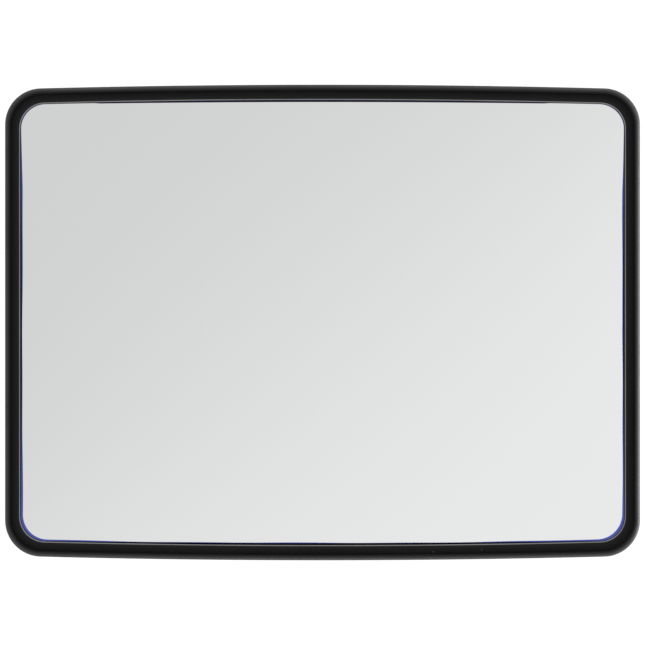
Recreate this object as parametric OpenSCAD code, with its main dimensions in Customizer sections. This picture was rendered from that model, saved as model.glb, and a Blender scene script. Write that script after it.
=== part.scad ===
// Rectangular convex security mirror on a telescopic wall bracket.
//
// Every module is drawn in the bracket's own frame: x to the right, y up and z out from the wall.
// facing() turns that frame so that the wall is the X-Z plane and the mirror faces -Y.

/* [Mirror] */
// Overall width over the edge trim
mirror_w = 610; // [450:10:900]
// Overall height at the middle of the long edges
mirror_h = 457; // [360:1:680]
// Outer corner radius of the edge trim
corner_r = 35; // [28:1:60]
// How far the long edges bow outwards at their middle
edge_bow = 3.5; // [1:0.5:8]
// Height of the dome above its flange
dome_rise = 52; // [30:1:80]
// Thickness of the acrylic lens
lens_t = 3; // [2:0.5:4]
// Thickness of the hardboard back
board_t = 3.2; // [2.4:0.4:6]
// Thickness of the foam strip under the lens flange
gasket_t = 1.2; // [0.8:0.2:2]

/* [Edge trim] */
// How far the front lip reaches in from the outer edge
lip_reach = 15; // [12:0.5:18]
// How far the rear lip reaches in from the outer edge
rear_reach = 12.5; // [9:0.5:15]
// Thickness of the trim's outer web
web_t = 2.6; // [2:0.2:4]
// Radius of the trim's rounded front shoulder
shoulder_r = 6.5; // [4:0.5:6.5]
// Height of the trim's crown above the lens flange
crown_h = 4.6; // [3.6:0.2:6]
// Height of the front lip above the lens flange
lip_h = 2.6; // [2:0.2:3.4]
// Thickness of the rear lip
rear_t = 2.2; // [1.6:0.2:3]

/* [Bracket] */
// Side of the square wall plate
wall_plate_w = 100; // [96:2:140]
// Thickness of the wall plate
wall_plate_t = 5; // [5:0.5:8]
// Distance between the wall plate's fixing holes
wall_hole_spacing = 76; // [70:2:76]
// Diameter of the wall plate's fixing holes
wall_hole_d = 7; // [5:0.5:8]
// Side of the square plate on the back board
back_plate_w = 110; // [104:2:140]
// Distance between the back plate's bolts
back_bolt_spacing = 84; // [80:2:88]
// Distance between the two pivots with the arm pushed in
pivot_span = 160.5; // [155:0.5:200]
// Outer diameter of the outer tube
outer_tube_d = 25; // [22:1:27]

/* [Hidden] */
$fn = 64;

// Clearances: running is for a shaft in its bore, gap for faces that lie on each other.
running = 0.05;
gap = 0.05;

// M8 pivot and swivel hardware
bolt_r = 4;
bolt_hole_r = 4.2;
hex_across_flats = 13;
hex_head_t = 5.3;
lock_nut_t = 8;
washer_r = 8;
washer_t = 1.6;
thread_stand_out = 1.9;
end_bevel = 0.8;
end_bevel_h = 1;
hex_chamfer = 1.6;
hex_chamfer_h = 1.2;
wing_hub_h = 8.5;
thrust_washer_r = 14.5;
friction_washer_r = 12;
nylon_t = 1;

// Countersunk head of the wall swivel bolt, a little below the plate's wall face
sunk_head_r = 7.9;
sunk_head_base = 0.35;
sunk_head_h = 3.95;
countersink_r = 8.3;

// Yoke: a bent strap with two ears
strap_t = 4;
strap_w = 30;
bend_r = 3;
eye_half_w = outer_tube_d / 2;
ear_inner = eye_half_w + nylon_t + 2 * gap;
ear_outer = ear_inner + strap_t;
pivot_h = 30;

// Knuckle: the eye between the ears and the spigot inside the tube
eye_r = outer_tube_d / 2 + 0.5;
shoulder = 18;
spigot_l = 16;
pin_r = 2;

// Distances out from the wall
wall_yoke_z = wall_plate_t + nylon_t + gap;
wall_pivot_z = wall_yoke_z + pivot_h;
mirror_pivot_z = wall_pivot_z + pivot_span;
mirror_yoke_z = mirror_pivot_z + pivot_h;
back_plate_t = 2.5;
back_plate_z = mirror_yoke_z + nylon_t + gap;
board_z = back_plate_z + back_plate_t;
gasket_z = board_z + board_t;
flange_z = gasket_z + gasket_t;
flange_top = flange_z + lens_t;
inner_plate_t = 1.6;
inner_plate_top = gasket_z + inner_plate_t;

// Tubes: the inner one starts inside the outer one and stands out of it by front_reach
tube_t = 1.5;
front_reach = 38.5;
tube_setback = 20;
lock_setback = 19;
inner_tube_d = outer_tube_d - 6;
outer_tube_z = wall_pivot_z + shoulder;
outer_tube_end = mirror_pivot_z - front_reach;
inner_tube_z = outer_tube_z + tube_setback;
inner_tube_end = mirror_pivot_z - shoulder;
outer_bore_r = outer_tube_d / 2 - tube_t;
inner_bore_r = inner_tube_d / 2 - tube_t;
bush_sleeve = 12;
bush_flange_t = 3;
slide_bush_l = 10;
lock_z = outer_tube_end - lock_setback;
lock_screw_r = 3;
lock_boss_top = outer_tube_d / 2 + 7.5;
lock_pad_base = inner_tube_d / 2 + 0.1;
lock_pad_t = 2;
boss_r = 8;
boss_bevel = 1;
knob_h = 12;
knob_r = 9;
knob_collar_r = 6;
lobe_count = 6;
lobe_r = 3;
lobe_circle_r = 8.2;

// Round head of the roll bolt, and how far the plates' corners are rounded
roll_head_r = 9;
roll_head_top_r = 7.4;
roll_head_h = 3.6;
wall_plate_corner_r = 8;
back_plate_corner_r = 12;

// Back plate bolts
small_head_r = 5.6;
small_head_top_r = 4;
small_head_h = 2.6;
small_stand_out = 1.8;
small_bolt_r = 2.5;
small_hole_r = 2.7;
small_nut_across_flats = 8;
small_nut_t = 4.7;
small_washer_r = 5.5;
small_washer_t = 1;

// Panel edges inside the trim's channel
panel_inset = web_t + 2 * gap;
gasket_w = 9;
corner_slack = 0.72;
side_steps = 6;
corner_steps = 9;
edge_steps = 8;
dome_rings = 10;

// ---------------------------------------------------------------- outline and lofts

// The mirror's outline, moved inwards by inset: parabolic long edges that run tangent into round corners.
// The rubber can't fold tightly at a corner, so the corner radius shrinks by less than the inset.
function outline(inset) =
    let (
        half_w = mirror_w / 2 - inset,
        half_h = mirror_h / 2 - inset,
        r = corner_r - corner_slack * inset,
        lean = atan(2 * edge_bow / (half_w - r)),
        edge_end = half_w - r + r * sin(lean),
        drop = tan(lean) / (2 * edge_end),
        centre_y = half_h - drop * edge_end * edge_end - r * cos(lean),
        quarter = [
            for (i = [0:side_steps - 1]) [half_w, centre_y * i / side_steps],
            for (i = [0:corner_steps])
                let (a = (90 - lean) * i / corner_steps) [half_w - r + r * cos(a), centre_y + r * sin(a)],
            for (i = [1:edge_steps])
                let (x = edge_end * (1 - i / edge_steps)) [x, half_h - drop * x * x]
        ],
        last = len(quarter) - 1,
        top = concat(quarter, [for (i = [last - 1:-1:0]) [-quarter[i].x, quarter[i].y]])
    )
    concat(top, [for (i = [2 * last - 1:-1:1]) [top[i].x, -top[i].y]]);

outline_n = len(outline(0));

function ring_faces(a, b) =
    [for (i = [0:outline_n - 1]) let (j = (i + 1) % outline_n)
        each [[a + i, b + i, b + j], [a + i, b + j, a + j]]];

// A closed band round the mirror. Each profile point is [inset, height], in clockwise order.
module band(profile) {
    rings = len(profile);
    points = [for (p = profile) each [for (q = outline(p.x)) [q.x, q.y, p.y]]];
    faces = [for (k = [0:rings - 1])
        each ring_faces(k * outline_n, ((k + 1) % rings) * outline_n)];
    polyhedron(points, faces);
}

// Height of the dome over the point p of the flange's inner outline, scaled towards the centre by c.
function dome_shape(p, half) = (1 - pow(p.x / half.x, 2)) * (1 - pow(p.y / half.y, 2));
function dome_height(p, c, half) =
    dome_rise * (dome_shape(p * c, half) - pow(c, 4) * dome_shape(p, half));

// A flat panel that fills the trim's channel.
module panel(t) {
    linear_extrude(t) polygon(outline(panel_inset));
}

module facing() {
    rotate([90, 0, 0]) children();
}

// ---------------------------------------------------------------- fasteners

module ring(outer_r, inner_r, t) {
    difference() {
        cylinder(r = outer_r, h = t);
        translate([0, 0, -1]) cylinder(r = inner_r, h = t + 2);
    }
}

module hex(across_flats, t) {
    cylinder(r = across_flats / sqrt(3), h = t, $fn = 6);
}

// A hexagon with its corners turned off by a cone, as on a real head or nut.
module chamfered_hex(across_flats, t) {
    corner = across_flats / sqrt(3);
    intersection() {
        hex(across_flats, t);
        union() {
            cylinder(r = corner, h = t - hex_chamfer_h);
            translate([0, 0, t - hex_chamfer_h])
                cylinder(r1 = corner, r2 = corner - hex_chamfer, h = hex_chamfer_h);
        }
    }
}

// A round bar up +z with a bevelled end.
module bevelled_bar(r, length) {
    cylinder(r = r, h = length - end_bevel_h);
    translate([0, 0, length - end_bevel_h]) cylinder(r1 = r, r2 = r - end_bevel, h = end_bevel_h);
}

// Hex bolt under its head at z = 0, with the shank up +z.
module hex_bolt(shank) {
    mirror([0, 0, 1]) chamfered_hex(hex_across_flats, hex_head_t);
    bevelled_bar(bolt_r, shank);
}

module nut(across_flats, t, hole_r) {
    difference() {
        chamfered_hex(across_flats, t);
        translate([0, 0, -1]) cylinder(r = hole_r, h = t + 2);
    }
}

// Nylon-insert nut: a hexagon with a round collar on top.
module lock_nut() {
    difference() {
        union() {
            chamfered_hex(hex_across_flats, lock_nut_t - 1.6);
            cylinder(r = hex_across_flats / 2 - 0.6, h = lock_nut_t);
        }
        translate([0, 0, -1]) cylinder(r = bolt_r + gap, h = lock_nut_t + 2);
    }
}

// A tapered hub with two round-tipped wings that lean outwards.
module wing_nut() {
    wing_t = 3;
    tip_r = 5;
    difference() {
        union() {
            cylinder(r1 = 7.4, r2 = 6, h = wing_hub_h);
            for (side = [-1, 1])
                translate([0, wing_t / 2, 0]) rotate([90, 0, 0]) linear_extrude(wing_t) union() {
                    polygon([[side * 4, 0.6], [side * 7, 0.6], [side * 17.4, 5.4], [side * 11.2, 13.2],
                             [side * 4, wing_hub_h - 0.4]]);
                    translate([side * 14.6, 9.6]) circle(r = tip_r);
                }
        }
        translate([0, 0, -1]) cylinder(r = bolt_r + running, h = wing_hub_h + 2);
    }
}

// ---------------------------------------------------------------- bracket pieces

// A strap bent into a U: its base lies on z = 0 and its ears hold a pivot along x at pivot_h.
module yoke() {
    outer_bend = bend_r + strap_t;
    difference() {
        intersection() {
            translate([0, strap_w / 2, 0]) rotate([90, 0, 0]) linear_extrude(strap_w) difference() {
                union() {
                    translate([-ear_outer, outer_bend]) square([2 * ear_outer, pivot_h + strap_w]);
                    translate([-ear_outer + outer_bend, 0])
                        square([2 * (ear_outer - outer_bend), outer_bend + 1]);
                    for (side = [-1, 1])
                        translate([side * (ear_outer - outer_bend), outer_bend]) circle(r = outer_bend);
                }
                translate([-ear_inner, strap_t + bend_r]) square([2 * ear_inner, pivot_h + strap_w]);
                translate([-ear_inner + bend_r, strap_t]) square([2 * (ear_inner - bend_r), bend_r + 1]);
                for (side = [-1, 1])
                    translate([side * (ear_inner - bend_r), strap_t + bend_r]) circle(r = bend_r);
            }
            rotate([90, 0, 90]) translate([0, 0, -ear_outer - 1]) linear_extrude(2 * ear_outer + 2) union() {
                translate([-strap_w / 2, -1]) square([strap_w, pivot_h + 1]);
                translate([0, pivot_h]) circle(r = strap_w / 2);
            }
        }
        translate([0, 0, -1]) cylinder(r = bolt_r + running, h = strap_t + 2);
        translate([-ear_outer - 1, 0, pivot_h]) rotate([0, 90, 0])
            cylinder(r = bolt_hole_r, h = 2 * ear_outer + 2);
    }
}

// Pivot hardware, along x through the pivot at the origin. The wing nut's side is +x.
module pivot_bolt() {
    seat = ear_outer + washer_t + 2 * gap;
    rotate([0, 90, 0]) translate([0, 0, -seat]) hex_bolt(2 * seat + wing_hub_h + thread_stand_out);
}

module pivot_washer() {
    translate([-ear_outer - gap - washer_t, 0, 0]) rotate([0, 90, 0]) ring(washer_r, bolt_hole_r, washer_t);
}

module clamp_washer() {
    translate([ear_outer + gap, 0, 0]) rotate([0, 90, 0]) ring(washer_r, bolt_hole_r, washer_t);
}

module friction_washers() {
    for (side = [-1, 1])
        translate([side > 0 ? eye_half_w + gap : -eye_half_w - gap - nylon_t, 0, 0]) rotate([0, 90, 0])
            ring(friction_washer_r, bolt_hole_r, nylon_t);
}

module pivot_wing_nut() {
    translate([ear_outer + washer_t + 2 * gap, 0, 0]) rotate([0, 90, 0]) rotate([0, 0, 20]) wing_nut();
}

// The eye turns on a pivot along x at the origin; the spigot points up +z into a tube.
module knuckle(tube_d, spigot_r) {
    difference() {
        union() {
            translate([-eye_half_w, 0, 0]) rotate([0, 90, 0]) cylinder(r = eye_r, h = 2 * eye_half_w);
            cylinder(r = tube_d / 2, h = shoulder - gap);
            bevelled_bar(spigot_r, shoulder + spigot_l);
        }
        translate([-eye_half_w - 1, 0, 0]) rotate([0, 90, 0])
            cylinder(r = bolt_r + running, h = 2 * eye_half_w + 2);
        translate([0, 0, shoulder + spigot_l / 2]) cross_hole(tube_d);
    }
}

module cross_hole(length) {
    translate([-length, 0, 0]) rotate([0, 90, 0]) cylinder(r = pin_r + gap, h = 2 * length);
}

// Slotted spring pin, a little shorter than the tube it crosses.
module spring_pin(tube_d) {
    length = tube_d - 0.4;
    pin_wall = 0.7;
    slot = 0.5;
    translate([-length / 2, 0, 0]) rotate([0, 90, 0]) difference() {
        cylinder(r = pin_r, h = length);
        translate([0, 0, -1]) cylinder(r = pin_r - pin_wall, h = length + 2);
        translate([0, -slot / 2, -1]) cube([pin_r + 1, slot, length + 2]);
    }
}

// A square plate with round corners, a centre hole and four holes on a square.
module square_plate(side, t, centre_r, hole_r, spacing, plate_corner_r) {
    inner = side / 2 - plate_corner_r;
    difference() {
        linear_extrude(t) union() {
            square([side, side - 2 * plate_corner_r], center = true);
            square([side - 2 * plate_corner_r, side], center = true);
            for (x = [-inner, inner], y = [-inner, inner]) translate([x, y]) circle(r = plate_corner_r);
        }
        translate([0, 0, -1]) cylinder(r = centre_r, h = t + 2);
        four(spacing) translate([0, 0, -1]) cylinder(r = hole_r, h = t + 2);
    }
}

module four(spacing) {
    for (x = [-spacing / 2, spacing / 2], y = [-spacing / 2, spacing / 2]) translate([x, y, 0]) children();
}

// ---------------------------------------------------------------- wall end

module wall_plate() {
    color("#232323") difference() {
        square_plate(wall_plate_w, wall_plate_t, bolt_r + running, wall_hole_d / 2, wall_hole_spacing,
                     wall_plate_corner_r);
        translate([0, 0, -0.01])
            cylinder(r1 = countersink_r, r2 = bolt_r + running, h = sunk_head_base + sunk_head_h);
    }
}

module wall_swivel_bolt() {
    end = wall_yoke_z + strap_t + 2 * gap + washer_t + lock_nut_t + thread_stand_out;
    shank_z = sunk_head_base + sunk_head_h;
    color("silver") {
        translate([0, 0, sunk_head_base]) cylinder(r1 = sunk_head_r, r2 = bolt_r, h = sunk_head_h);
        translate([0, 0, shank_z]) bevelled_bar(bolt_r, end - shank_z);
    }
}

module wall_swivel_washer() {
    color("silver") translate([0, 0, wall_yoke_z + strap_t + gap]) ring(washer_r, bolt_hole_r, washer_t);
}

module wall_swivel_nut() {
    color("silver") translate([0, 0, wall_yoke_z + strap_t + 2 * gap + washer_t]) lock_nut();
}

module wall_thrust_washer() {
    color("ivory") translate([0, 0, wall_plate_t]) ring(thrust_washer_r, bolt_hole_r, nylon_t);
}

// The wall end's pivot stands upright, with the wing nut below.
module at_wall_pivot() {
    translate([0, 0, wall_pivot_z]) rotate([0, 0, -90]) children();
}

module wall_yoke() {
    color("#232323") translate([0, 0, wall_yoke_z]) rotate([0, 0, -90]) yoke();
}

// ---------------------------------------------------------------- arm

module rear_knuckle() {
    color("#232323") at_wall_pivot() knuckle(outer_tube_d, outer_bore_r - gap);
}

module outer_tube() {
    color("#232323") difference() {
        translate([0, 0, outer_tube_z]) ring(outer_tube_d / 2, outer_bore_r, outer_tube_end - outer_tube_z);
        translate([0, 0, outer_tube_z + spigot_l / 2]) rotate([0, 0, 90]) cross_hole(outer_tube_d);
        translate([0, 0, lock_z]) rotate([90, 0, 0]) cylinder(r = lock_screw_r + 0.1, h = outer_tube_d);
    }
}

module outer_tube_pin() {
    color("silver") translate([0, 0, outer_tube_z + spigot_l / 2]) rotate([0, 0, 90])
        spring_pin(outer_tube_d);
}

// A threaded boss welded under the outer tube.
module lock_boss() {
    color("#232323") difference() {
        translate([0, 0, lock_z]) rotate([90, 0, 0]) union() {
            cylinder(r = boss_r, h = lock_boss_top - boss_bevel);
            translate([0, 0, lock_boss_top - boss_bevel])
                cylinder(r1 = boss_r, r2 = boss_r - boss_bevel, h = boss_bevel);
        }
        cylinder(r = outer_tube_d / 2 + 0.02, h = outer_tube_end + 20);
        translate([0, 0, lock_z]) rotate([90, 0, 0]) cylinder(r = lock_screw_r + 0.1, h = lock_boss_top + 1);
    }
}

module guide_bush() {
    color("#1b1b1b") difference() {
        union() {
            translate([0, 0, outer_tube_end - bush_sleeve])
                cylinder(r = outer_bore_r - gap, h = bush_sleeve + 1);
            translate([0, 0, outer_tube_end + gap]) cylinder(r = outer_tube_d / 2 + 1, h = bush_flange_t - 1);
            translate([0, 0, outer_tube_end + gap + bush_flange_t - 1])
                cylinder(r1 = outer_tube_d / 2 + 1, r2 = outer_tube_d / 2, h = 1);
        }
        translate([0, 0, outer_tube_end - bush_sleeve - 1])
            cylinder(r = inner_tube_d / 2 + 0.08, h = bush_sleeve + bush_flange_t + 3);
    }
}

// The pad presses on the inner tube, so that the screw's tip doesn't score it.
module lock_pad() {
    color("ivory") translate([0, 0, lock_z]) rotate([90, 0, 0]) translate([0, 0, lock_pad_base])
        cylinder(r = lock_screw_r - 0.1, h = lock_pad_t);
}

module lock_screw() {
    tip = lock_pad_base + lock_pad_t + gap;
    color("silver") translate([0, 0, lock_z]) rotate([90, 0, 0]) {
        translate([0, 0, tip]) cylinder(r1 = 2.2, r2 = lock_screw_r, h = 0.8);
        translate([0, 0, tip + 0.8]) cylinder(r = lock_screw_r, h = lock_boss_top + 12 - tip - 0.8);
    }
}

module lock_knob() {
    color("#1b1b1b") translate([0, 0, lock_z]) rotate([90, 0, 0]) translate([0, 0, lock_boss_top + 2])
        difference() {
            union() {
                cylinder(r = knob_collar_r, h = 4);
                translate([0, 0, 2]) linear_extrude(knob_h - 2) union() {
                    circle(r = knob_r);
                    for (i = [0:lobe_count - 1])
                        rotate(360 / lobe_count * i) translate([lobe_circle_r, 0]) circle(r = lobe_r);
                }
            }
            translate([0, 0, -1]) cylinder(r = lock_screw_r + gap, h = knob_h - 1 + gap);
        }
}

module inner_tube() {
    color("#cfd2d4") difference() {
        translate([0, 0, inner_tube_z]) ring(inner_tube_d / 2, inner_bore_r, inner_tube_end - inner_tube_z);
        translate([0, 0, inner_tube_end - spigot_l / 2]) cross_hole(inner_tube_d);
    }
}

// A plastic sleeve that centres the inner tube's hidden end.
module slide_bush() {
    color("#1b1b1b") translate([0, 0, inner_tube_z])
        ring(outer_bore_r - 0.08, inner_tube_d / 2 + gap, slide_bush_l);
}

module front_knuckle() {
    color("#232323") translate([0, 0, mirror_pivot_z]) rotate([180, 0, 0])
        knuckle(inner_tube_d, inner_bore_r - gap);
}

module inner_tube_pin() {
    color("silver") translate([0, 0, inner_tube_end - spigot_l / 2]) spring_pin(inner_tube_d);
}

// ---------------------------------------------------------------- mirror end

module at_mirror_pivot() {
    translate([0, 0, mirror_pivot_z]) children();
}

module mirror_yoke() {
    color("#232323") translate([0, 0, mirror_yoke_z]) rotate([180, 0, 0]) yoke();
}

module roll_thrust_washer() {
    color("ivory") translate([0, 0, mirror_yoke_z + gap]) ring(thrust_washer_r, bolt_hole_r, nylon_t);
}

module roll_washer() {
    color("silver") translate([0, 0, mirror_yoke_z - strap_t - gap - washer_t])
        ring(washer_r, bolt_hole_r, washer_t);
}

module roll_nut() {
    color("silver") translate([0, 0, mirror_yoke_z - strap_t - 2 * gap - washer_t]) mirror([0, 0, 1])
        lock_nut();
}

// Low round head inside the mirror, shank out through the board, the plate and the yoke.
module roll_bolt() {
    end = mirror_yoke_z - strap_t - 2 * gap - washer_t - lock_nut_t - thread_stand_out;
    color("silver") {
        translate([0, 0, inner_plate_top + gap])
            cylinder(r1 = roll_head_r, r2 = roll_head_top_r, h = roll_head_h);
        translate([0, 0, end + end_bevel_h]) cylinder(r = bolt_r, h = inner_plate_top + gap - end);
        translate([0, 0, end]) cylinder(r1 = bolt_r - end_bevel, r2 = bolt_r, h = end_bevel_h);
    }
}

module back_plate() {
    color("#232323") translate([0, 0, back_plate_z])
        square_plate(back_plate_w, back_plate_t - gap, bolt_hole_r, small_hole_r, back_bolt_spacing,
                     back_plate_corner_r);
}

module inner_plate() {
    color("silver") translate([0, 0, gasket_z + gap])
        square_plate(back_plate_w, inner_plate_t - gap, bolt_hole_r, small_hole_r, back_bolt_spacing,
                     back_plate_corner_r);
}

module back_plate_bolts() {
    end = back_plate_z - small_washer_t - small_nut_t - small_stand_out;
    color("silver") four(back_bolt_spacing) {
        translate([0, 0, inner_plate_top + gap])
            cylinder(r1 = small_head_r, r2 = small_head_top_r, h = small_head_h);
        translate([0, 0, end]) cylinder(r = small_bolt_r, h = inner_plate_top + gap - end + 1);
    }
}

module back_plate_washers() {
    color("silver") four(back_bolt_spacing) translate([0, 0, back_plate_z - gap - small_washer_t])
        ring(small_washer_r, small_hole_r, small_washer_t);
}

module back_plate_nuts() {
    color("silver") four(back_bolt_spacing)
        translate([0, 0, back_plate_z - 2 * gap - small_washer_t]) mirror([0, 0, 1])
            nut(small_nut_across_flats, small_nut_t, small_bolt_r + gap);
}

// ---------------------------------------------------------------- mirror head

module back_board() {
    color("#5a3d28") difference() {
        translate([0, 0, board_z]) panel(board_t);
        translate([0, 0, board_z - 1]) cylinder(r = bolt_hole_r, h = board_t + 2);
        four(back_bolt_spacing) translate([0, 0, board_z - 1]) cylinder(r = small_hole_r, h = board_t + 2);
    }
}

module flange_gasket() {
    low = gasket_z + gap;
    high = flange_z - gap;
    color("#2b2b2b") band([[panel_inset, low], [panel_inset, high],
                           [panel_inset + gasket_w, high], [panel_inset + gasket_w, low]]);
}

// Thermoformed lens: a flat flange under the trim, and one shallow dome over the whole opening.
module mirror_lens() {
    opening = outline(lip_reach);
    half = [mirror_w / 2 - lip_reach, mirror_h / 2 - lip_reach];
    rim = outline(panel_inset);
    surface = concat(
        [for (p = rim) [p.x, p.y, 0]],
        [for (k = [0:dome_rings - 1])
            let (c = 1 - k / dome_rings)
            each [for (p = opening) [p.x * c, p.y * c, dome_height(p, c, half)]]],
        [[0, 0, dome_rise]]
    );
    n = len(surface);
    points = concat(
        [for (p = surface) [p.x, p.y, p.z + flange_top]],
        [for (p = surface) [p.x, p.y, p.z + flange_z]]
    );
    last_ring = dome_rings * outline_n;
    front = concat(
        [for (k = [0:dome_rings - 1]) each ring_faces(k * outline_n, (k + 1) * outline_n)],
        [for (i = [0:outline_n - 1]) [n - 1, last_ring + (i + 1) % outline_n, last_ring + i]]
    );
    back = [for (f = front) [f[0] + n, f[2] + n, f[1] + n]];
    color("#c9ced2") polyhedron(points, concat(front, back, ring_faces(n, 0)));
}

// Black rubber channel: a crowned front with a thin lip on the mirror, and a flat rear lip.
module edge_trim() {
    front = flange_top + gap;
    rear = board_z - gap;
    crown = flange_top + crown_h;
    lip = flange_top + lip_h;
    color("#141414") band(concat(
        [[web_t, rear], [rear_reach, rear],
         [rear_reach, rear - rear_t * 0.6], [rear_reach - 1.2, rear - rear_t],
         [2, rear - rear_t], [0.5, rear - rear_t + 0.8], [0, rear - rear_t + 2.6]],
        [for (i = [0:5]) let (a = 15 * i) [shoulder_r * (1 - cos(a)), crown - shoulder_r * (1 - sin(a))]],
        [[shoulder_r + 2, crown], [lip_reach - 3, lip + 0.7], [lip_reach - 0.8, lip],
         [lip_reach, lip - 0.8], [lip_reach, front], [web_t, front]]
    ));
}

facing() wall_plate();
facing() wall_swivel_bolt();
facing() wall_swivel_nut();
facing() wall_swivel_washer();
facing() wall_thrust_washer();
facing() wall_yoke();
facing() at_wall_pivot() color("silver") pivot_bolt();  // wall_pivot_bolt
facing() at_wall_pivot() color("silver") pivot_washer();  // wall_pivot_washer
facing() at_wall_pivot() color("ivory") friction_washers();  // wall_friction_washers
facing() at_wall_pivot() color("silver") clamp_washer();  // wall_clamp_washer
facing() at_wall_pivot() color("silver") pivot_wing_nut();  // wall_wing_nut
facing() rear_knuckle();
facing() outer_tube();
facing() outer_tube_pin();
facing() lock_boss();
facing() guide_bush();
facing() lock_pad();
facing() lock_screw();
facing() lock_knob();
facing() inner_tube();
facing() slide_bush();
facing() front_knuckle();
facing() inner_tube_pin();
facing() mirror_yoke();
facing() at_mirror_pivot() color("silver") pivot_bolt();  // mirror_pivot_bolt
facing() at_mirror_pivot() color("silver") pivot_washer();  // mirror_pivot_washer
facing() at_mirror_pivot() color("ivory") friction_washers();  // mirror_friction_washers
facing() at_mirror_pivot() color("silver") clamp_washer();  // mirror_clamp_washer
facing() at_mirror_pivot() color("silver") pivot_wing_nut();  // mirror_wing_nut
facing() roll_bolt();
facing() roll_nut();
facing() roll_washer();
facing() roll_thrust_washer();
facing() back_plate();
facing() back_plate_bolts();
facing() back_plate_nuts();
facing() back_plate_washers();
facing() inner_plate();
facing() back_board();
facing() flange_gasket();
facing() mirror_lens();
facing() edge_trim();
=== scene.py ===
"""Visual model of the rectangular convex security mirror and its wall bracket.

The CAD frame gives every place. The lens and the edge trim are rebuilt here as finer meshes, and a
hairline of protective film is added, whose dark blue is also painted shade beside the lip. Every other
CAD node keeps its shape and gets a material, and all but the board and the gasket get rounded edges.
"""
import math

import bmesh
import bpy
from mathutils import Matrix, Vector


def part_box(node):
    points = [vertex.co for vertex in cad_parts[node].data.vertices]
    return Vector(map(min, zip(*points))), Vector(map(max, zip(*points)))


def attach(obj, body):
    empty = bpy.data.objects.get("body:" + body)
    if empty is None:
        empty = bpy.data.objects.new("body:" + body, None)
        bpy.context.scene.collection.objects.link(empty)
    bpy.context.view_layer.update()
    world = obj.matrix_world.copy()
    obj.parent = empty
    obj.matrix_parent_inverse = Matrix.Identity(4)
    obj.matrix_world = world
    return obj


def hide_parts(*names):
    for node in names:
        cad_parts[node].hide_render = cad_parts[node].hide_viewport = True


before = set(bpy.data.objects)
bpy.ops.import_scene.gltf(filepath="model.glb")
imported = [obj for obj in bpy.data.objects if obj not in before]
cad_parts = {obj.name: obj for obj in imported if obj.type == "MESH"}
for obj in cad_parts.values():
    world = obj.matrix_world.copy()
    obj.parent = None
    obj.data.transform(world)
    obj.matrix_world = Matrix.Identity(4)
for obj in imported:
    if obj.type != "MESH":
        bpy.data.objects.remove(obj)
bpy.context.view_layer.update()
scene = bpy.context.scene
MM = 0.001

# ---------------------------------------------------------------- driving sizes, as in the CAD source

CORNER_R = 35 * MM
CORNER_SLACK = 0.72
EDGE_BOW = 3.5 * MM
LIP_REACH = 15 * MM
REAR_REACH = 12.5 * MM
WEB_T = 2.6 * MM
SHOULDER_R = 6.5 * MM
CROWN_H = 4.6 * MM
LIP_H = 2.6 * MM
REAR_T = 2.2 * MM
LENS_T = 3 * MM
PANEL_INSET = 2.7 * MM
FACE_GAP = 0.05 * MM

trim_low, trim_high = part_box("edge_trim")
lens_low, lens_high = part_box("mirror_lens")
_, board_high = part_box("back_board")
HALF_W = (trim_high.x - trim_low.x) / 2
HALF_H = (trim_high.z - trim_low.z) / 2
FLANGE_BACK = lens_high.y
FLANGE_FRONT = FLANGE_BACK - LENS_T
DOME_RISE = FLANGE_FRONT - lens_low.y

# Steps along a short side, a corner and half a long edge
TRIM_STEPS = (16, 20, 32)
LENS_STEPS = (28, 16, 40)
DOME_RINGS = 44


# ---------------------------------------------------------------- outline and lofts

def outline(inset, side_steps, corner_steps, edge_steps):
    """The mirror's outline as (x, z) points: straight short sides, round corners and bowed long edges."""
    half_w, half_h = HALF_W - inset, HALF_H - inset
    r = CORNER_R - CORNER_SLACK * inset
    lean = math.atan(2 * EDGE_BOW / (half_w - r))
    edge_end = half_w - r + r * math.sin(lean)
    drop = math.tan(lean) / (2 * edge_end)
    centre_z = half_h - drop * edge_end ** 2 - r * math.cos(lean)
    quarter = [(half_w, centre_z * i / side_steps) for i in range(side_steps)]
    for i in range(corner_steps + 1):
        a = (math.pi / 2 - lean) * i / corner_steps
        quarter.append((half_w - r + r * math.cos(a), centre_z + r * math.sin(a)))
    for i in range(1, edge_steps + 1):
        x = edge_end * (1 - i / edge_steps)
        quarter.append((x, half_h - drop * x * x))
    top = quarter + [(-x, z) for x, z in reversed(quarter[:-1])]
    return top + [(x, -z) for x, z in reversed(top[1:-1])]


def lengths_along(points):
    """Distance along a closed outline at each point, and once more at the end."""
    out = [0.0]
    for a, b in zip(points, points[1:] + points[:1]):
        out.append(out[-1] + math.dist(a, b))
    return out


def new_object(name, verts, faces, materials, smooth=True):
    mesh = bpy.data.meshes.new(name)
    mesh.from_pydata(verts, [], faces)
    for material in materials:
        mesh.materials.append(material)
    mesh.validate()
    mesh.update()
    obj = bpy.data.objects.new(name, mesh)
    scene.collection.objects.link(obj)
    if smooth:
        mesh.polygons.foreach_set("use_smooth", [True] * len(mesh.polygons))
    return obj


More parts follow.
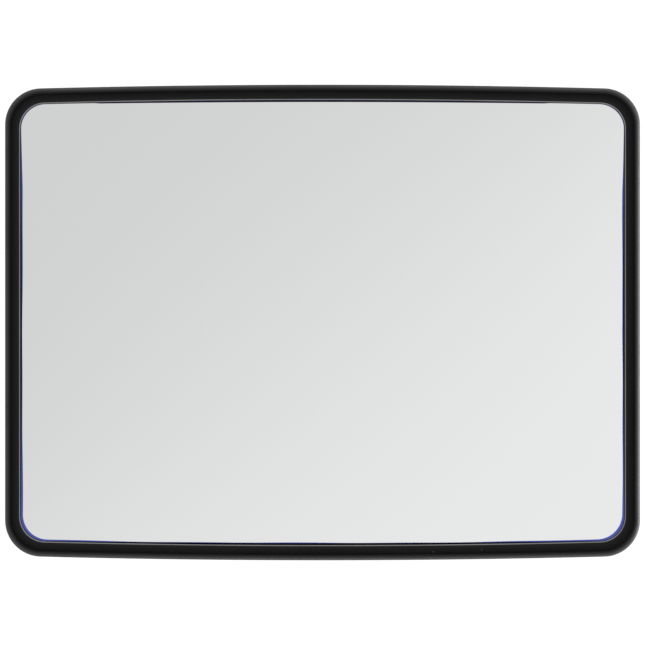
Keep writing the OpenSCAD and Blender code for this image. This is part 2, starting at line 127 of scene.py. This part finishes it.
def band(name, profile, steps, materials):
    """A closed tube of the (inset, y) profile round the mirror; u runs along it and v across, in metres."""
    rings = [outline(inset, *steps) for inset, _ in profile]
    count, n = len(rings[0]), len(profile)
    along = lengths_along(rings[0])
    across = [0.0]
    for a, b in zip(profile, profile[1:] + profile[:1]):
        across.append(across[-1] + math.dist(a, b))
    verts = []
    for j in range(count):
        for i, (_, y) in enumerate(profile):
            x, z = rings[i][j]
            verts.append((x, y, z))
    faces = []
    for j in range(count):
        for i in range(n):
            a, b = j * n + i, j * n + (i + 1) % n
            c, d = (j + 1) % count * n + (i + 1) % n, (j + 1) % count * n + i
            faces.append((a, b, c, d))
    obj = new_object(name, verts, faces, materials)
    layer = obj.data.uv_layers.new(name="along_across")
    loop = 0
    for j in range(count):
        for i in range(n):
            for u, v in ((along[j], across[i]), (along[j], across[i + 1]),
                         (along[j + 1], across[i + 1]), (along[j + 1], across[i])):
                layer.data[loop].uv = (u, v)
                loop += 1
    face_outwards(obj)
    return obj


def face_outwards(obj):
    """Turns every face of a closed mesh outwards."""
    bm = bmesh.new()
    bm.from_mesh(obj.data)
    bmesh.ops.recalc_face_normals(bm, faces=bm.faces)
    bm.to_mesh(obj.data)
    bm.free()


def arc(centre, radius, start, end, steps):
    """Points on an arc in the (inset, y) plane, from angle start to end in degrees."""
    cx, cy = centre
    angles = (math.radians(start + (end - start) * i / steps) for i in range(steps + 1))
    return [(cx + radius * math.cos(a), cy + radius * math.sin(a)) for a in angles]


# ---------------------------------------------------------------- material helpers

def add_math(tree, operation, a, b):
    """One operation on two values, each a number or an output."""
    made = tree.nodes.new("ShaderNodeMath")
    made.operation = operation
    for socket, value in zip(made.inputs, (a, b)):
        if isinstance(value, (int, float)):
            socket.default_value = value
        else:
            tree.links.new(value, socket)
    return made.outputs["Value"]


def add_map_range(tree, value, low, high, to_low, to_high, interpolation="LINEAR"):
    """A value that runs from to_low to to_high while the input runs from low to high."""
    made = tree.nodes.new("ShaderNodeMapRange")
    made.interpolation_type = interpolation
    for socket, number in zip(("From Min", "From Max", "To Min", "To Max"), (low, high, to_low, to_high)):
        made.inputs[socket].default_value = number
    tree.links.new(value, made.inputs["Value"])
    return made.outputs["Result"]


class Shader:
    """A Principled material, built node by node."""

    def __init__(self, name, color, roughness, metallic=0.0, **sockets):
        self.material = bpy.data.materials.new(name)
        self.material.use_nodes = True
        self.tree = self.material.node_tree
        self.bsdf = self.tree.nodes["Principled BSDF"]
        self.bsdf.inputs["Base Color"].default_value = (*color, 1)
        self.bsdf.inputs["Roughness"].default_value = roughness
        self.bsdf.inputs["Metallic"].default_value = metallic
        for socket, value in sockets.items():
            self.bsdf.inputs[socket.replace("_", " ")].default_value = value

    def node(self, kind, **settings):
        made = self.tree.nodes.new(kind)
        for key, value in settings.items():
            setattr(made, key, value)
        return made

    def link(self, output, target):
        self.tree.links.new(output, target)

    def coords(self, kind="Object", scale=(1, 1, 1)):
        """Object coordinates are metres in the row frame and move with the body."""
        source = self.node("ShaderNodeTexCoord").outputs[kind]
        mapping = self.node("ShaderNodeMapping")
        mapping.inputs["Scale"].default_value = scale
        self.link(source, mapping.inputs["Vector"])
        return mapping.outputs["Vector"]

    def noise(self, size, coords=None, detail=3.0, distortion=0.0):
        """Noise with features of about the given size, in metres."""
        made = self.node("ShaderNodeTexNoise")
        made.inputs["Scale"].default_value = 1 / size
        made.inputs["Detail"].default_value = detail
        made.inputs["Roughness"].default_value = 0.55
        made.inputs["Distortion"].default_value = distortion
        self.link(coords or self.coords(), made.inputs["Vector"])
        return made.outputs["Fac"]

    def cells(self, size):
        """Distance to the nearest of scattered points, spaced about size apart."""
        made = self.node("ShaderNodeTexVoronoi")
        made.inputs["Scale"].default_value = 1 / size
        self.link(self.coords(), made.inputs["Vector"])
        return made.outputs["Distance"]

    def remap(self, value, low, high, to_low=0.0, to_high=1.0):
        return add_map_range(self.tree, value, low, high, to_low, to_high)

    def math(self, operation, a, b):
        return add_math(self.tree, operation, a, b)

    def mix(self, factor, a, b):
        """Colour a where factor is 0 and b where it is 1. Either is an RGB triple or an output."""
        made = self.node("ShaderNodeMix", data_type="RGBA")
        colour_inputs = [s for s in made.inputs if s.type == "RGBA"]
        self.link(factor, made.inputs[0])
        for socket, value in zip(colour_inputs, (a, b)):
            if isinstance(value, tuple):
                socket.default_value = (*value, 1)
            else:
                self.link(value, socket)
        return next(s for s in made.outputs if s.type == "RGBA")

    def greys(self, value, stops):
        """A faintly blue grey that runs through the given (place, grey) stops."""
        made = self.node("ShaderNodeValToRGB")
        elements = made.color_ramp.elements
        elements.remove(elements[1])
        elements[0].position = stops[0][0]
        for place, grey in stops[1:]:
            elements.new(place)
        for element, (place, grey) in zip(elements, stops):
            element.color = (grey, grey, grey * 1.04, 1)
        self.link(value, made.inputs["Fac"])
        return made.outputs["Color"]

    def color(self, output):
        self.link(output, self.bsdf.inputs["Base Color"])

    def roughness(self, output):
        self.link(output, self.bsdf.inputs["Roughness"])

    def bump(self, height, depth, strength=1.0, below=None):
        """Raises the surface by height times depth in metres."""
        made = self.node("ShaderNodeBump")
        made.inputs["Strength"].default_value = strength
        made.inputs["Distance"].default_value = depth
        self.link(height, made.inputs["Height"])
        if below is not None:
            self.link(below, made.inputs["Normal"])
        self.link(made.outputs["Normal"], self.bsdf.inputs["Normal"])
        return made.outputs["Normal"]


# ---------------------------------------------------------------- materials

def rubber_trim():
    """Extruded black rubber: draw lines along it, a grey across the section that is partly bloom and partly
    painted sheen and painted shade, and a painted highlight along the lip.
    """
    s = Shader("trim_rubber", (0.004, 0.004, 0.0042), 0.36, IOR=1.14)
    streaks = s.noise(1.0, s.coords("UV", (12, 2600, 1)), detail=2)
    grain = s.noise(0.35 * MM, detail=2)
    dust = s.remap(s.cells(21 * MM), 0.0, 0.028, 1, 0)
    across = s.node("ShaderNodeSeparateXYZ")
    s.link(s.coords("UV"), across.inputs[0])
    section = s.remap(across.outputs["Y"], SHOULDER_V, LIP_V, 0, 1)
    # bloom and painted sheen: a grey ramp across the section, pale on the shoulder as painted sheen and
    # darkest on the crest as painted shade, partly the rubber's own bloom
    bloom_and_painted_sheen = s.greys(section, [(0.0, 0.020), (0.14, 0.030), (0.24, 0.100), (0.33, 0.064), (0.40, 0.038),
                              (0.47, 0.020), (0.53, 0.008), (0.58, 0.002), (0.65, 0.006), (0.85, 0.012),
                              (1.0, 0.018)])
    # painted highlight: a bright grey band along the lip's bead, where light catches the lip's rounded edge
    bead_start, bead_end, fade = LIP_V + 0.45 * MM, LIP_V + 1.75 * MM, 0.3 * MM
    painted_lip_highlight_band = s.math("MULTIPLY", s.remap(across.outputs["Y"], bead_start, bead_start + fade, 0, 1),
                  s.remap(across.outputs["Y"], bead_end - fade, bead_end, 1, 0))
    painted_lip_highlight = s.mix(painted_lip_highlight_band, bloom_and_painted_sheen, (0.27, 0.273, 0.268))
    hazed = s.mix(s.remap(s.noise(60 * MM), 0.45, 0.8, 0, 0.25), painted_lip_highlight, (0.012, 0.012, 0.012))
    s.color(s.mix(dust, hazed, (0.20, 0.20, 0.19)))
    s.roughness(s.remap(s.noise(7 * MM), 0.3, 0.75, 0.32, 0.44))
    fine = s.bump(grain, 0.012 * MM, 0.5)
    s.bump(streaks, 0.010 * MM, 0.6, fine)
    return s.material


def mirror_face():
    """Acrylic mirrored on its back, with faint waviness and dust.

    The silver colour pales towards the lower right: a painted reflection of a room in front of the mirror
    that is brighter to the lower right.
    """
    s = Shader("mirror_face", (0.875, 0.88, 0.884), 0.02, 1.0,
               Coat_Weight=0.5, Coat_Roughness=0.02, Coat_IOR=1.49)
    s.bump(s.noise(150 * MM, detail=1), 0.05 * MM, 0.25)
    place = s.node("ShaderNodeSeparateXYZ")
    s.link(s.coords(), place.inputs[0])
    # painted reflection: the silver colour pales towards the lower right, in place of a brighter room there
    painted_reflection_mask = s.math("ADD", s.remap(place.outputs["X"], -HALF_W, HALF_W, 0.0, 0.58),
                    s.remap(place.outputs["Z"], -HALF_H, HALF_H, 0.42, 0.0))
    silver_with_painted_reflection = s.mix(painted_reflection_mask, (0.772, 0.776, 0.780), (0.978, 0.982, 0.984))
    smear = s.noise(60 * MM, detail=5)
    speck = s.remap(s.cells(34 * MM), 0.0, 0.012, 1, 0)
    s.roughness(s.math("ADD", s.remap(smear, 0.4, 0.75, 0.012, 0.035), s.math("MULTIPLY", speck, 0.3)))
    s.color(s.mix(speck, silver_with_painted_reflection, (0.74, 0.74, 0.74)))
    return s.material


def mirror_backing():
    """Grey protective paint over the silvering on the lens's rear."""
    s = Shader("mirror_backing", (0.16, 0.165, 0.17), 0.6)
    s.color(s.mix(s.noise(9 * MM), (0.13, 0.135, 0.14), (0.20, 0.205, 0.21)))
    s.bump(s.noise(0.8 * MM), 0.03 * MM, 0.6)
    return s.material


def acrylic_edge():
    """The lens's sawn edge, faintly green and matt."""
    s = Shader("acrylic_edge", (0.30, 0.36, 0.34), 0.25)
    s.color(s.mix(s.noise(2 * MM), (0.24, 0.30, 0.28), (0.36, 0.43, 0.40)))
    s.roughness(s.remap(s.noise(1.5 * MM), 0.3, 0.7, 0.18, 0.4))
    return s.material


def film_and_painted_shade():
    """Clear blue film over the lens, left where it was trimmed along the lip; its dark blue is also painted
    shade in the gap beside the lip.
    """
    # painted shade: the dark blue partly stands for shade in the gap beside the lip
    s = Shader("film_and_painted_shade", (0.09, 0.12, 0.46), 0.16, 1.0)
    s.color(s.mix(s.noise(18 * MM), (0.06, 0.085, 0.40), (0.12, 0.15, 0.52)))
    s.bump(s.noise(3 * MM), 0.04 * MM, 0.5)
    return s.material


def powder_coat():
    """Black powder coat: fine orange peel, slightly worn and dusty."""
    s = Shader("powder_coat", (0.016, 0.016, 0.017), 0.42)
    peel = s.noise(1.1 * MM, detail=1.5)
    micro = s.noise(0.25 * MM, detail=1)
    worn = s.remap(s.noise(22 * MM, detail=5), 0.4, 0.8)
    s.color(s.mix(worn, (0.013, 0.013, 0.014), (0.026, 0.026, 0.027)))
    s.roughness(s.remap(s.noise(9 * MM, detail=4), 0.3, 0.75, 0.34, 0.52))
    s.bump(micro, 0.012 * MM, 0.5, s.bump(peel, 0.06 * MM, 0.55))
    return s.material


def zinc():
    """Bright zinc plate: spangled grey with a faint blue passivation and fine scratches."""
    s = Shader("zinc_plate", (0.62, 0.63, 0.64), 0.3, 1.0)
    cloud = s.noise(6 * MM, detail=4)
    tint = s.mix(s.remap(cloud, 0.35, 0.7), (0.56, 0.58, 0.61), (0.68, 0.675, 0.65))
    scratch = s.noise(1.0, s.coords("Object", (260, 2200, 260)), detail=2, distortion=0.4)
    s.color(s.mix(s.remap(scratch, 0.62, 0.72, 0, 0.35), tint, (0.40, 0.41, 0.42)))
    s.roughness(s.remap(s.noise(2.5 * MM, detail=3), 0.3, 0.7, 0.22, 0.42))
    s.bump(s.noise(0.5 * MM, detail=2), 0.010 * MM, 0.5)
    return s.material


def bright_tube():
    """Chromed inner tube with faint draw marks along it, from sliding in its bush."""
    s = Shader("bright_tube", (0.74, 0.75, 0.76), 0.1, 1.0)
    drawn = s.noise(1.0, s.coords("Object", (1500, 14, 1500)), detail=2)
    s.roughness(s.remap(drawn, 0.35, 0.75, 0.07, 0.24))
    s.color(s.mix(s.remap(drawn, 0.5, 0.9), (0.74, 0.75, 0.76), (0.60, 0.61, 0.62)))
    s.bump(drawn, 0.006 * MM, 0.5)
    return s.material


def nylon():
    """Natural nylon: off-white and slightly translucent."""
    s = Shader("nylon", (0.74, 0.71, 0.62), 0.5, Subsurface_Weight=0.15, Subsurface_Scale=0.002)
    s.color(s.mix(s.noise(5 * MM), (0.70, 0.665, 0.57), (0.79, 0.765, 0.69)))
    s.roughness(s.remap(s.noise(2 * MM), 0.3, 0.7, 0.42, 0.6))
    s.bump(s.noise(0.6 * MM), 0.012 * MM, 0.5)
    return s.material


def black_plastic():
    """Moulded black nylon with a fine spark-eroded texture."""
    s = Shader("black_plastic", (0.014, 0.014, 0.015), 0.5)
    s.color(s.mix(s.noise(12 * MM, detail=4), (0.011, 0.011, 0.012), (0.021, 0.021, 0.022)))
    s.roughness(s.remap(s.noise(3 * MM), 0.3, 0.7, 0.42, 0.58))
    s.bump(s.noise(0.45 * MM, detail=2), 0.03 * MM, 0.7)
    return s.material


def hardboard():
    """Tempered hardboard: dark brown pressed fibre, with fine matted strands under a hard smooth face."""
    s = Shader("hardboard", (0.125, 0.055, 0.024), 0.46)
    cloud = s.noise(160 * MM, detail=3)
    base = s.mix(s.remap(cloud, 0.35, 0.7), (0.105, 0.045, 0.019), (0.145, 0.064, 0.028))
    lying = s.noise(1.0, s.coords("Object", (420, 900, 2400)), detail=3, distortion=1.2)
    standing = s.noise(1.0, s.coords("Object", (2400, 900, 420)), detail=3, distortion=1.2)
    flecked = s.mix(s.remap(lying, 0.54, 0.68, 0, 0.6), base, (0.045, 0.019, 0.009))
    s.color(s.mix(s.remap(standing, 0.60, 0.72, 0, 0.5), flecked, (0.22, 0.115, 0.055)))
    s.roughness(s.remap(s.noise(20 * MM, detail=4), 0.3, 0.75, 0.46, 0.50))
    s.bump(standing, 0.015 * MM, 0.5, s.bump(lying, 0.015 * MM, 0.5))
    return s.material


def foam():
    """Black closed-cell foam strip."""
    s = Shader("foam", (0.02, 0.02, 0.02), 0.9)
    s.color(s.mix(s.cells(0.7 * MM), (0.010, 0.010, 0.010), (0.034, 0.034, 0.034)))
    s.bump(s.cells(0.7 * MM), 0.2 * MM, 0.8)
    return s.material


# ---------------------------------------------------------------- mirror head

def run_length(points):
    """Length of an open chain of points."""
    return sum(math.dist(a, b) for a, b in zip(points, points[1:]))


def trim_profile():
    """(inset, y) of the rubber channel's section, and its run-length at the shoulder and at the bead."""
    front = FLANGE_FRONT - FACE_GAP
    rear = board_high.y + FACE_GAP
    crown = FLANGE_FRONT - CROWN_H
    lip = FLANGE_FRONT - LIP_H
    rear_face = rear + REAR_T
    rear_tip_r, rear_corner_r, rear_flat_start = 1.1 * MM, 1.8 * MM, 6 * MM
    points = [(WEB_T, rear), (REAR_REACH, rear)]
    points += arc((REAR_REACH - rear_tip_r, rear + rear_tip_r), rear_tip_r, -10, 90, 6)
    points += [(rear_flat_start, rear_face)]
    points += arc((rear_corner_r, rear_face - rear_corner_r), rear_corner_r, 90, 180, 6)
    shoulder_steps = 18
    points += arc((SHOULDER_R, crown + SHOULDER_R), SHOULDER_R, 180, 270, shoulder_steps)
    shoulder_start = run_length(points[:-shoulder_steps])
    bead_r = 0.85 * MM
    slope_end = (LIP_REACH - bead_r * 1.9, lip + 0.12 * MM)
    start = (SHOULDER_R, crown)
    slope_steps = 9
    for i in range(1, slope_steps):
        t = i / slope_steps
        depth = t * t * (1.55 - 0.55 * t)
        points.append((start[0] + (slope_end[0] - start[0]) * t,
                       start[1] + (slope_end[1] - start[1]) * depth))
    points.append(slope_end)
    lip_start = run_length(points)
    points += arc((LIP_REACH - bead_r, lip + bead_r), bead_r, 262, 360, 8)
    grip_middle = 8 * MM
    points += [(LIP_REACH, front), (grip_middle, front), (WEB_T, front)]
    return points, shoulder_start, lip_start


def edge_trim(material, profile):
    """The rubber channel, in place of its CAD node."""
    obj = band("trim", profile, TRIM_STEPS, [material])
    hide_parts("edge_trim")
    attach(obj, "mirror_head")


def dome_depth(x, z, scale):
    """How far the lens stands proud of its flange at the rim point (x, z), scaled towards the centre."""
    half_x, half_z = HALF_W - LIP_REACH, HALF_H - LIP_REACH

    def shape(px, pz):
        return (1 - (px / half_x) ** 2) * (1 - (pz / half_z) ** 2)
    return DOME_RISE * (shape(x * scale, z * scale) - scale ** 4 * shape(x, z))


def mirror_lens(face, backing, edge):
    """One closed sheet: the front skin, the same skin LENS_T further back, and the cut edge."""
    rim = outline(PANEL_INSET, *LENS_STEPS)
    opening = outline(LIP_REACH, *LENS_STEPS)
    n = len(rim)
    front = [(x, FLANGE_FRONT, z) for x, z in rim]
    for k in range(DOME_RINGS):
        c = 1 - k / DOME_RINGS
        front += [(x * c, FLANGE_FRONT - dome_depth(x, z, c), z * c) for x, z in opening]
    front.append((0, FLANGE_FRONT - DOME_RISE, 0))
    verts = front + [(x, y + LENS_T, z) for x, y, z in front]
    back = len(front)
    faces, kinds = [], []
    for k in range(DOME_RINGS):
        for i in range(n):
            j = (i + 1) % n
            quad = (k * n + i, k * n + j, (k + 1) * n + j, (k + 1) * n + i)
            faces += [quad, tuple(back + v for v in reversed(quad))]
            kinds += [0, 1]
    last = DOME_RINGS * n
    for i in range(n):
        triangle = (last + i, last + (i + 1) % n, back - 1)
        faces += [triangle, tuple(back + v for v in reversed(triangle))]
        kinds += [0, 1]
    for i in range(n):
        j = (i + 1) % n
        faces.append((i, back + i, back + j, j))
        kinds.append(2)
    obj = new_object("lens", verts, faces, [face, backing, edge])
    obj.data.polygons.foreach_set("material_index", kinds)
    face_outwards(obj)
    obj.data.set_sharp_from_angle(angle=math.radians(12))
    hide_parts("mirror_lens")
    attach(obj, "mirror_head")


def film_edge_and_painted_shade(material):
    """The hairline of film that lies on the lens just inside the lip; its dark blue strip is also painted
    shade in the gap beside the lip.
    """
    thickness = 0.12 * MM
    clearance = 0.01 * MM
    under_lip = 1.2 * MM
    widest = 1.9 * MM
    outer = outline(LIP_REACH - under_lip, *LENS_STEPS)
    opening = outline(LIP_REACH, *LENS_STEPS)
    n = len(outer)
    across = 5
    rows = [[(x, FLANGE_FRONT, z) for x, z in outer], [(x, FLANGE_FRONT, z) for x, z in opening]]
    along = lengths_along(opening)
    for k in range(1, across + 1):
        row = []
        for i, (x, z) in enumerate(opening):
            wander = 0.12 * math.sin(along[i] * 23) + 0.08 * math.sin(along[i] * 61 + 1.3)
            # painted shade: the dark blue strip also stands for shade in the gap beside the lip, so it is
            # narrower near the top where that gap is narrow
            near_top = min(max(z / HALF_H - 0.55, 0) / 0.3, 1)
            reach = widest * (1 - 0.75 * near_top) * (1 + wander) * k / across
            edge = math.hypot(x / (HALF_W - LIP_REACH), z / (HALF_H - LIP_REACH))
            c = 1 - reach / math.hypot(x, z) * edge
            row.append((x * c, FLANGE_FRONT - dome_depth(x, z, c), z * c))
        rows.append(row)
    top = [(x, y - thickness, z) for row in rows for x, y, z in row]
    low = [(x, y - clearance, z) for row in rows for x, y, z in row]
    verts, faces = top + low, []
    count, m = len(rows), len(top)
    for k in range(count - 1):
        for i in range(n):
            j = (i + 1) % n
            quad = (k * n + i, k * n + j, (k + 1) * n + j, (k + 1) * n + i)
            faces += [quad, tuple(m + v for v in reversed(quad))]
    for i in range(n):
        j = (i + 1) % n
        end = (count - 1) * n
        faces += [(i, m + i, m + j, j), (end + j, m + end + j, m + end + i, end + i)]
    obj = new_object("film_edge_and_painted_shade", verts, faces, [material])
    face_outwards(obj)
    obj.data.set_sharp_from_angle(angle=math.radians(40))
    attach(obj, "mirror_head")


# ---------------------------------------------------------------- CAD nodes

def dress(node, material, bevel=0.0, segments=3):
    """Gives a CAD node its material, and rounds its sharp edges by bevel metres.

    Flat faces are joined first, so that no thin triangle folds over where the rounding meets a hole.
    The chamfered nuts round cleanly as they are.
    """
    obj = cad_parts[node]
    obj.data.materials.clear()
    obj.data.materials.append(material)
    weld = obj.modifiers.new("weld", "WELD")
    weld.merge_threshold = 0.001 * MM
    if bevel:
        if node not in ("wall_swivel_nut", "roll_nut"):
            join_flats = obj.modifiers.new("join_flats", "DECIMATE")
            join_flats.decimate_type = "DISSOLVE"
            join_flats.angle_limit = math.radians(0.5)
        rounding = obj.modifiers.new("rounding", "BEVEL")
        rounding.width = bevel
        rounding.segments = segments
        rounding.limit_method = "ANGLE"
        rounding.angle_limit = math.radians(40)
        rounding.use_clamp_overlap = True
        rounding.loop_slide = False
        flat_faces = obj.modifiers.new("flat_faces", "WEIGHTED_NORMAL")
        flat_faces.weight = 100
        flat_faces.keep_sharp = True


# ---------------------------------------------------------------- camera, floor and light

def camera():
    """Square on to the mirror, as far off as a product photographer stands, with a narrow margin."""
    distance = 3.0
    margin = 0.0077  # at each side, as a share of the mirror's width
    framed = 2 * HALF_W * (1 + 2 * margin)
    data = bpy.data.cameras.new("camera")
    data.sensor_width = 36
    data.lens = data.sensor_width * distance / framed
    obj = bpy.data.objects.new("camera", data)
    scene.collection.objects.link(obj)
    obj.location = (0, FLANGE_FRONT - distance, 0)
    obj.rotation_euler = (math.pi / 2, 0, 0)
    scene.camera = obj


def floor():
    """A pale disc below the mirror that fades out at its rim."""
    drop, radius, solid_radius = 0.38, 2.0, 0.6
    segments = 96
    turns = [2 * math.pi * i / segments for i in range(segments)]
    ring = [(radius * math.cos(turn), radius * math.sin(turn), 0) for turn in turns]
    obj = new_object("floor", ring, [tuple(range(segments))], [], smooth=False)
    obj.location = (0, 0, trim_low.z - drop)
    s = Shader("floor", (0.86, 0.86, 0.86), 0.9)
    position = s.node("ShaderNodeNewGeometry").outputs["Position"]
    flat = s.node("ShaderNodeVectorMath", operation="MULTIPLY")
    flat.inputs[1].default_value = (1, 1, 0)
    s.link(position, flat.inputs[0])
    length = s.node("ShaderNodeVectorMath", operation="LENGTH")
    s.link(flat.outputs["Vector"], length.inputs[0])
    fade = add_map_range(s.tree, length.outputs["Value"], solid_radius, radius * 0.98, 1, 0, "SMOOTHSTEP")
    s.link(fade, s.bsdf.inputs["Alpha"])
    obj.data.materials.append(s.material)
    obj.visible_glossy = False


def light_tent():
    """A soft tent: white behind the mirror, paler to the lower right in front, and dim at the left."""
    world = bpy.data.worlds.new("tent")
    scene.world = world
    world.use_nodes = True
    tree = world.node_tree
    background = tree.nodes["Background"]
    background.inputs["Color"].default_value = (1, 1, 1, 1)
    direction = tree.nodes.new("ShaderNodeSeparateXYZ")
    tree.links.new(tree.nodes.new("ShaderNodeTexCoord").outputs["Generated"], direction.inputs[0])

    def times(a, b):
        return add_math(tree, "MULTIPLY", a, b)

    def plus(a, b):
        return add_math(tree, "ADD", a, b)

    def rising(value, low, high):
        return add_map_range(tree, value, low, high, 0.0, 1.0, "SMOOTHSTEP")

    def blend(factor, a, b):
        return plus(times(a, add_math(tree, "SUBTRACT", 1.0, factor)), times(b, factor))

    x, y, z = direction.outputs
    front = plus(plus(times(x, 0.050), times(z, -0.042)), 0.82)
    side = plus(times(x, 0.45), 0.85)
    backdrop = 1.04
    tent = blend(rising(y, -0.52, -0.36), front, side)
    strength = blend(rising(y, 0.80, 0.93), tent, backdrop)
    tree.links.new(strength, background.inputs["Strength"])


def softbox(name, location, width, height, power):
    """An area light that faces the mirror's centre."""
    data = bpy.data.lights.new(name, "AREA")
    data.shape = "RECTANGLE"
    data.size, data.size_y = width, height
    data.energy = power
    obj = bpy.data.objects.new(name, data)
    scene.collection.objects.link(obj)
    obj.location = location
    aim = Vector((0, FLANGE_FRONT, 0)) - obj.location
    obj.rotation_euler = aim.to_track_quat("-Z", "Y").to_euler()
    obj.visible_camera = False


# ---------------------------------------------------------------- build

camera()
scene.view_settings.view_transform = "Standard"
profile, SHOULDER_V, LIP_V = trim_profile()
edge_trim(rubber_trim(), profile)
mirror_lens(mirror_face(), mirror_backing(), acrylic_edge())
film_edge_and_painted_shade(film_and_painted_shade())

coat, plate, plastic, pale = powder_coat(), zinc(), black_plastic(), nylon()
for node in ("wall_plate", "wall_yoke", "rear_knuckle", "lock_boss", "front_knuckle", "mirror_yoke",
             "back_plate"):
    dress(node, coat, 0.5 * MM)
dress("outer_tube", coat, 0.25 * MM)
for node in ("wall_swivel_bolt", "wall_swivel_nut", "wall_swivel_washer", "wall_pivot_bolt",
             "wall_pivot_washer", "wall_clamp_washer", "wall_wing_nut", "outer_tube_pin", "inner_tube_pin",
             "lock_screw", "mirror_pivot_bolt", "mirror_pivot_washer", "mirror_clamp_washer",
             "mirror_wing_nut", "roll_bolt", "roll_nut", "roll_washer", "back_plate_bolts",
             "back_plate_nuts", "back_plate_washers", "inner_plate"):
    dress(node, plate, 0.2 * MM, 2)
for node in ("guide_bush", "slide_bush", "lock_knob"):
    dress(node, plastic, 0.4 * MM)
for node in ("wall_thrust_washer", "wall_friction_washers", "lock_pad", "mirror_friction_washers",
             "roll_thrust_washer"):
    dress(node, pale, 0.15 * MM, 2)
dress("inner_tube", bright_tube(), 0.25 * MM)
dress("back_board", hardboard())
dress("flange_gasket", foam())

floor()
light_tent()
softbox("right_softbox", (2.2, 0.4, -0.4), 1.6, 1.6, 60)
softbox("bottom_softbox", (0.4, 0.2, -2.0), 1.6, 1.0, 30)
